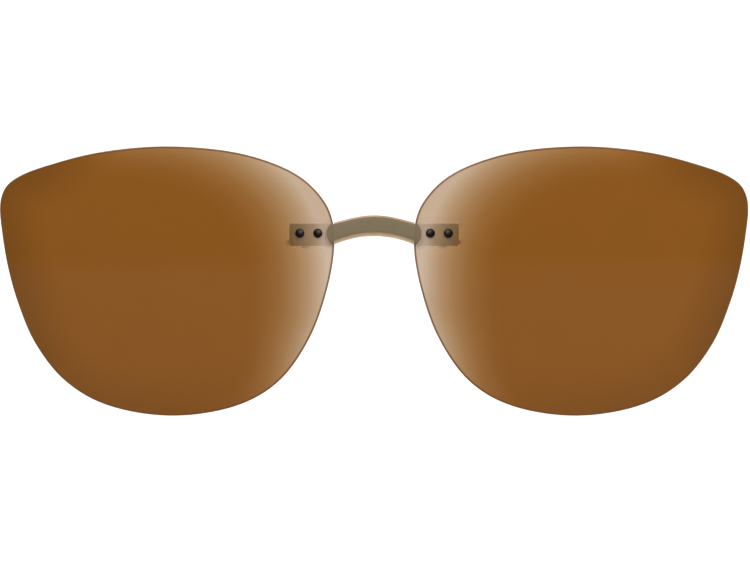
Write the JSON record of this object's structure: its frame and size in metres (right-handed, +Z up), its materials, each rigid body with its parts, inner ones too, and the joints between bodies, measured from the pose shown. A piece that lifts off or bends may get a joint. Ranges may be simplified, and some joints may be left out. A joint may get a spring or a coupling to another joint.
{
  "type": "clip-on flip lenses",
  "caption": "Tinted rimless lenses screwed to an arched bridge bar that flips up on a hinge, with a sprung wire-claw clip behind it that grips spectacles.",
  "frame": {"origin": "on the rear face of the clip's bridge pad, on the centre line, level with the lens screws", "axes": "+X to the right as one faces the lenses, -Y out of the front of the lenses, +Y towards the wearer, +Z up"},
  "size_m": [0.1304, 0.0152, 0.0468],
  "materials": {
    "lens_tint": "glossy brown tint, paler towards the nose",
    "olive_enamel": "matt, finely speckled olive enamel with polished bronze bevels",
    "bronze": "satin bronze plating",
    "black_steel": "glossy black",
    "steel": "drawn bright steel",
    "spring_steel": "oiled spring wire",
    "silicone": "clear soft silicone",
    "nylon": "natural nylon"
  },
  "bodies": {
    "clip_body": {"hinge_plate": "bronze", "body_spacer": "bronze", "rear_plate": "bronze", "bridge_pad": "silicone", "hinge_screw": "steel", "hinge_nut": "steel", "left_friction_washer": "nylon", "left_upper_claw": "steel", "left_upper_sleeve": "silicone", "left_body_rivet": "steel", "left_pivot_screw": "steel", "left_torsion_spring": "spring_steel", "right_friction_washer": "nylon", "right_upper_claw": "steel", "right_upper_sleeve": "silicone", "right_body_rivet": "steel", "right_pivot_screw": "steel", "right_torsion_spring": "spring_steel"},
    "flip_front": {"bridge_bar": "olive_enamel", "hinge_bracket": "bronze", "left_lens": "lens_tint", "left_tab_plate": "bronze", "left_inner_lens_screw": "black_steel", "left_inner_bushing": "nylon", "left_inner_nut": "steel", "left_outer_lens_screw": "black_steel", "left_outer_bushing": "nylon", "left_outer_nut": "steel", "right_lens": "lens_tint", "right_tab_plate": "bronze", "right_inner_lens_screw": "black_steel", "right_inner_bushing": "nylon", "right_inner_nut": "steel", "right_outer_lens_screw": "black_steel", "right_outer_bushing": "nylon", "right_outer_nut": "steel"},
    "left_arm": {"left_lower_arm": "steel", "left_lower_sleeve": "silicone"},
    "right_arm": {"right_lower_arm": "steel", "right_lower_sleeve": "silicone"}
  },
  "joints": [
    {"name": "flip_hinge", "type": "hinge", "parent": "clip_body", "child": "flip_front", "pos_m": [0, -0.0051, 0.00115], "axis": [-1, 0, 0], "range_deg": [0, 90]},
    {"name": "left_arm_pivot", "type": "hinge", "parent": "clip_body", "child": "left_arm", "pos_m": [-0.004, -0.0025, 0.00015], "axis": [0, -1, 0], "range_deg": [0, 8], "stiffness_Nm_per_rad": 0.1},
    {"name": "right_arm_pivot", "type": "hinge", "parent": "clip_body", "child": "right_arm", "pos_m": [0.004, -0.0025, 0.00015], "axis": [0, 1, 0], "range_deg": [0, 8], "stiffness_Nm_per_rad": 0.1}
  ]
}
